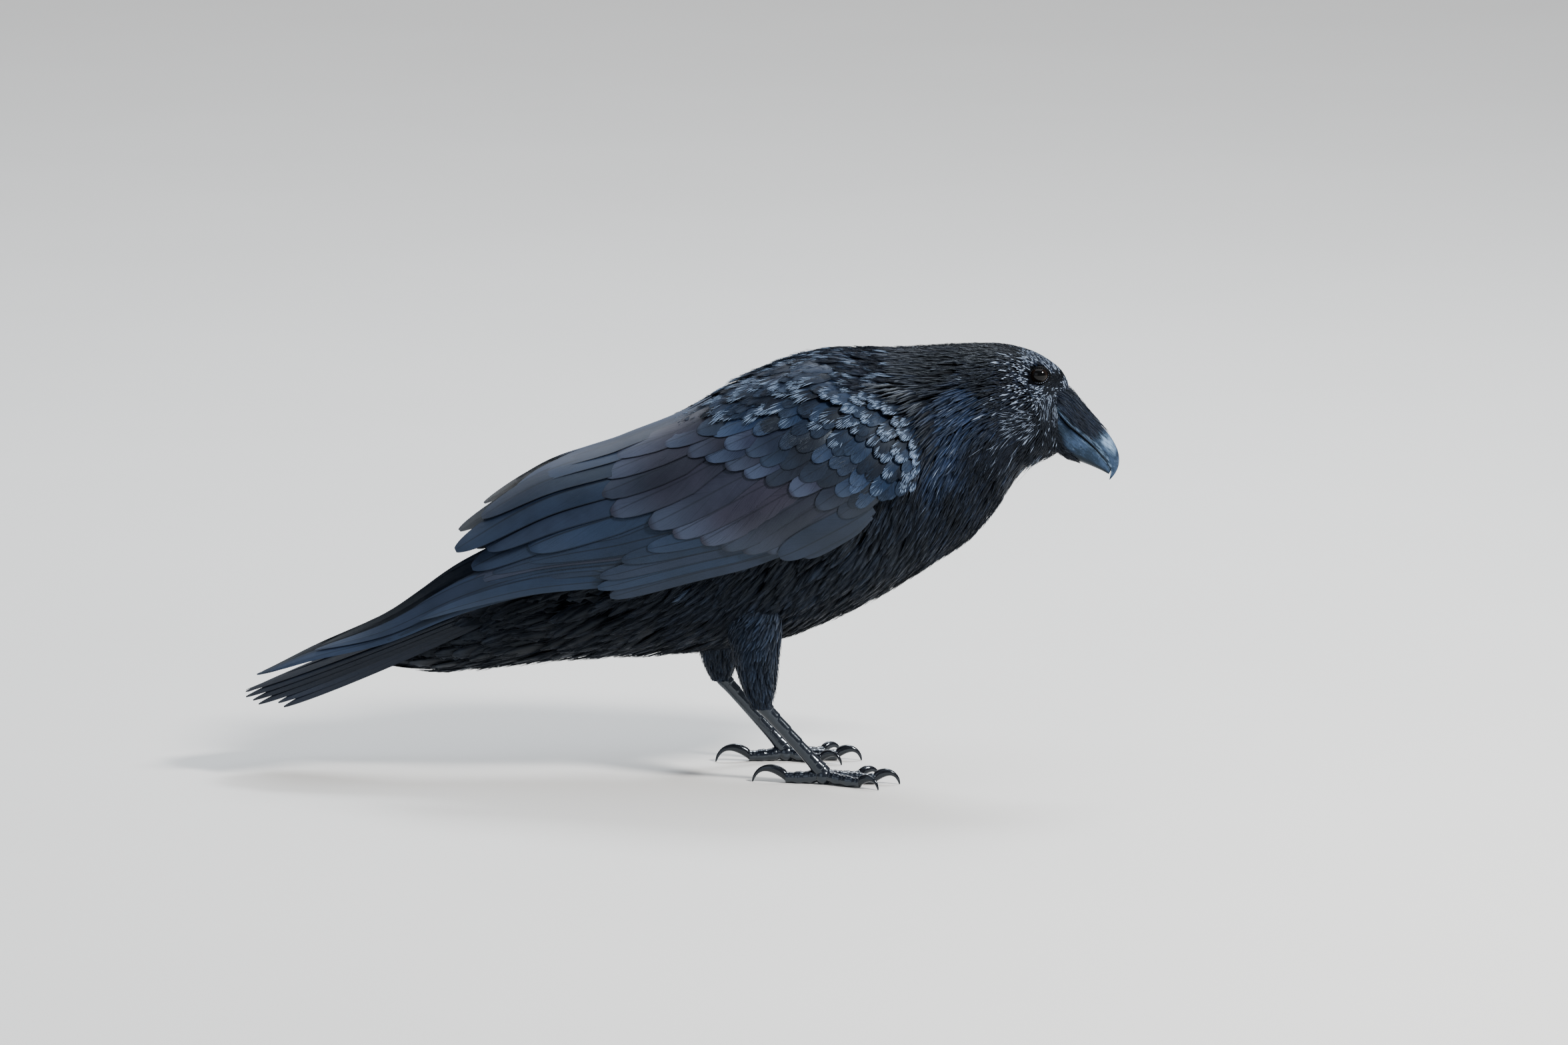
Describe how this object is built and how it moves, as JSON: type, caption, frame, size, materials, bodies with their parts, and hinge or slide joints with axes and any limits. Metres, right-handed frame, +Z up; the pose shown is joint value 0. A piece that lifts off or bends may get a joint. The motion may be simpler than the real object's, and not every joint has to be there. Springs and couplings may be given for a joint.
{
  "type": "common raven",
  "caption": "Life-size still model of a common raven standing on both feet, leaning forward with its bill pointing down and its wings folded.",
  "frame": {"origin": "on the floor, under the middle of the bird's overall length and on its midplane", "axes": "+X the way the bird faces, +Y its own left side, +Z up"},
  "size_m": [0.5781, 0.1426, 0.2875],
  "materials": {
    "body_feathers": "black plumage with a blue gloss, sheen on each feather",
    "wing_coverts": "blue-black with a purple-brown bloom, dark edge and pale glint on each feather",
    "flight_feathers": "slate-blue black, satin, dark shafts and edges",
    "bill_horn": "slate-black horn, worn satin gloss with fine scratches",
    "eye": "dark brown, wet gloss",
    "leg_scales": "glossy black scales",
    "claw_horn": "polished black horn"
  },
  "bodies": {
    "root": {"trunk": "body_feathers", "neck": "body_feathers", "head": "body_feathers", "bill_upper": "bill_horn", "bill_lower": "bill_horn", "eye_right": "eye", "eye_left": "eye", "tail": "flight_feathers", "wing_coverts_right": "wing_coverts", "wing_secondaries_right": "flight_feathers", "wing_lower_coverts_right": "flight_feathers", "wing_primaries_right": "flight_feathers", "thigh_right": "body_feathers", "shank_right": "leg_scales", "foot_right": "leg_scales", "claw_hind_right": "claw_horn", "claw_inner_right": "claw_horn", "claw_middle_right": "claw_horn", "claw_outer_right": "claw_horn", "wing_coverts_left": "wing_coverts", "wing_secondaries_left": "flight_feathers", "wing_lower_coverts_left": "flight_feathers", "wing_primaries_left": "flight_feathers", "thigh_left": "body_feathers", "shank_left": "leg_scales", "foot_left": "leg_scales", "claw_hind_left": "claw_horn", "claw_inner_left": "claw_horn", "claw_middle_left": "claw_horn", "claw_outer_left": "claw_horn"}
  },
  "joints": []
}
